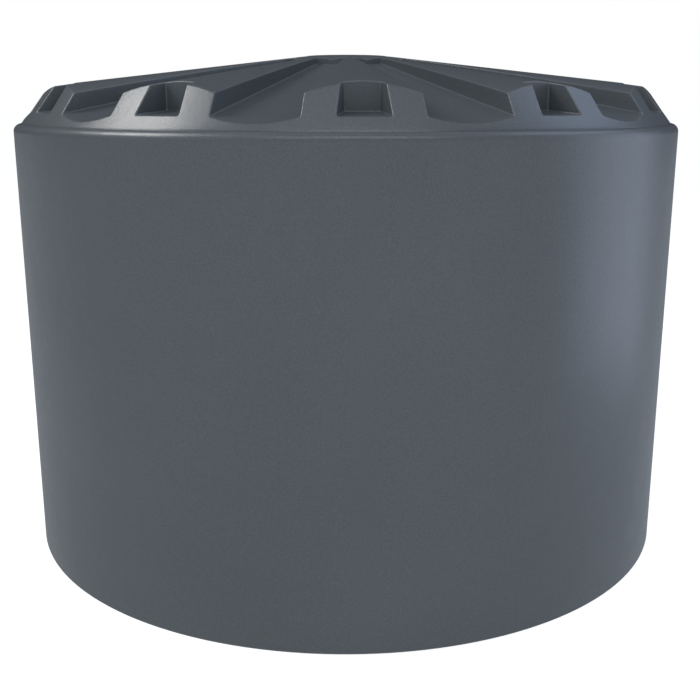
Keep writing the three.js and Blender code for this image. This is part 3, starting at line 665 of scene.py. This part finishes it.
MATERIALS = {
    "tank": tank_plastic(),
    "black_plastic": moulded_black(),
    "stainless": metal("stainless_steel", (0.62, 0.63, 0.64), 0.22, 0.4, (1, 1, 12)),
    "rubber": rubber(),
    "brass": metal("cast_brass", (0.62, 0.44, 0.2), 0.3, 0.5, (1, 1, 1), 0.0002, 1.25),
    "chromed": metal("chrome_plate", (0.78, 0.79, 0.8), 0.06, 0.14, (1, 1, 1), 0.00002, 1.1),
    "seat_white": seat_polymer(),
    "zinc_steel": metal("zinc_plated_steel", (0.56, 0.57, 0.58), 0.35, 0.55, (14, 1, 1)),
    "grip_blue": dipped_vinyl(),
}

# ---- The tank is one moulding, so one shell stands for all its CAD regions ----

SLOTS = {part["node"]: part["material_slot"] for part in frame["record"]["subparts"]}
shell = mesh_object("tank_shell", *shell_patch().all_round())
close_shell(shell)
add_pads(shell)
shell.data.materials.clear()
shell.data.materials.append(MATERIALS["tank"])
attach(shell, "tank")
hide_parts(*[name for name, slot in SLOTS.items() if slot == "tank"])

# ---- Fittings: the CAD nodes, with their edges eased ----

for name, node in frame["nodes"].items():
    if SLOTS[name] == "tank":
        continue
    node.data.materials.clear()
    node.data.materials.append(MATERIALS[SLOTS[name]])
    node.modifiers.new("shared_corners", "WELD").merge_threshold = WELD
    ease = node.modifiers.new("eased_edges", "BEVEL")
    ease.limit_method = "ANGLE"
    ease.angle_limit = FITTING_SHARP
    ease.width = FITTING_EDGE
    ease.segments = 2
    for face in node.data.polygons:
        face.use_smooth = True
    node.modifiers.new("flat_faces_stay_flat", "WEIGHTED_NORMAL")

# ---- Floor, light and camera ----

FLOOR_SIZE = 400.0


def floor_material():
    n = Nodes("pale_floor")
    n.colour(n.ramp(n.noise(0.7, 3.0), [(0.3, (0.56, 0.56, 0.56)), (0.7, (0.60, 0.60, 0.60))]))
    n.roughness(n.ramp(n.noise(8.0, 2.0), [(0.3, 0.7), (0.7, 0.85)]))
    n.bump((n.noise(40.0, 3.0), 0.0005))
    n.fixed(Emission_Color=(1, 1, 1, 1), Emission_Strength=0.78)
    return n.material


half = FLOOR_SIZE / 2
corners = [(-half, -half, 0), (half, -half, 0), (half, half, 0), (-half, half, 0)]
floor = mesh_object("floor", corners, [(0, 1, 2, 3)])
floor.location.z = -0.001
floor.data.materials.append(floor_material())
floor.visible_glossy = False  # the wall doesn't mirror the floor at its silhouette


def softbox(name, place, target, size, power, colour):
    """A rectangular area light that points at the target."""
    light = bpy.data.lights.new(name, "AREA")
    light.shape = "RECTANGLE"
    light.size, light.size_y = size
    light.energy = power
    light.color = colour
    obj = bpy.data.objects.new(name, light)
    obj.location = place
    obj.rotation_euler = (Vector(target) - Vector(place)).to_track_quat("-Z", "Y").to_euler()
    bpy.context.scene.collection.objects.link(obj)


softbox("left_key", (-6.4, -0.5, 8.1), (0, 0, 2.2), (3.4, 3.4), 375, (1.0, 0.99, 0.97))
softbox("right_strip", (6.9, -0.6, 2.2), (0, 0, 1.3), (4.6, 5.6), 115, (0.66, 0.77, 1.0))
softbox("right_sky", (6.2, 0.6, 8.0), (0, 0, 2.2), (4.4, 4.4), 105, (0.55, 0.70, 1.0))
softbox("front_top", (0, -5.6, 8.2), (0, -1.8, 2.3), (6.0, 1.6), 110, (0.88, 0.94, 1.0))

# Sky light: brightest in front and above, dim towards the horizon behind, with a glow from below
# for reflections. The camera sees white.
SKY_BRIGHT = (0.0, -0.6, 0.8)
SKY_TINT = (0.84, 0.92, 1.0)
SKY_STOPS = ((0.2, 0.04), (0.45, 0.09), (0.75, 0.55), (1.0, 0.52))
GROUND_STOPS = ((0.35, 0.42), (0.47, 0.32), (0.5, 0.0))


def tinted(stops):
    return [(position, shade(SKY_TINT, level)) for position, level in stops]


def world_level(tree, direction, axis, stops):
    """Light that depends on how near the direction is to an axis."""
    towards = tree.nodes.new("ShaderNodeVectorMath")
    towards.operation = "DOT_PRODUCT"
    towards.inputs[1].default_value = axis
    tree.links.new(direction, towards.inputs[0])
    spread = tree.nodes.new("ShaderNodeMapRange")
    spread.inputs["From Min"].default_value = -1.0
    tree.links.new(towards.outputs["Value"], spread.inputs["Value"])
    return add_ramp(tree, spread.outputs["Result"], tinted(stops))


world = bpy.data.worlds.new("studio")
world.use_nodes = True
bpy.context.scene.world = world
tree = world.node_tree
direction = tree.nodes.new("ShaderNodeTexCoord").outputs["Generated"]
total = tree.nodes.new("ShaderNodeMix")
total.data_type = "RGBA"
total.blend_type = "ADD"
total.inputs[0].default_value = 1.0
tree.links.new(world_level(tree, direction, SKY_BRIGHT, SKY_STOPS), total.inputs[6])
tree.links.new(world_level(tree, direction, (0.0, 0.0, 1.0), GROUND_STOPS), total.inputs[7])
background = tree.nodes["Background"]
tree.links.new(total.outputs[2], background.inputs["Color"])
seen = tree.nodes.new("ShaderNodeBackground")
seen.inputs["Color"].default_value = (1, 1, 1, 1)
path = tree.nodes.new("ShaderNodeLightPath")
choice = tree.nodes.new("ShaderNodeMixShader")
tree.links.new(path.outputs["Is Camera Ray"], choice.inputs[0])
tree.links.new(background.outputs[0], choice.inputs[1])
tree.links.new(seen.outputs[0], choice.inputs[2])
tree.links.new(choice.outputs[0], tree.nodes["World Output"].inputs["Surface"])

# The front rib stands 2.66 degrees to the right of the line of sight.
VIEW_TURN = math.radians(-2.66)
VIEW_DISTANCE = 5.692
VIEW_SIDE = 0.021
lens = bpy.data.cameras.new("camera")
lens.lens = 50.21
lens.sensor_width = 36
lens.shift_y = -0.0179
camera = bpy.data.objects.new("camera", lens)
camera.location = (
    VIEW_SIDE * math.cos(VIEW_TURN) + VIEW_DISTANCE * math.sin(VIEW_TURN),
    VIEW_SIDE * math.sin(VIEW_TURN) - VIEW_DISTANCE * math.cos(VIEW_TURN),
    2.421,
)
camera.rotation_euler = (math.radians(76.13), 0, VIEW_TURN)
bpy.context.scene.collection.objects.link(camera)
bpy.context.scene.camera = camera

bpy.context.scene.view_settings.view_transform = "Standard"
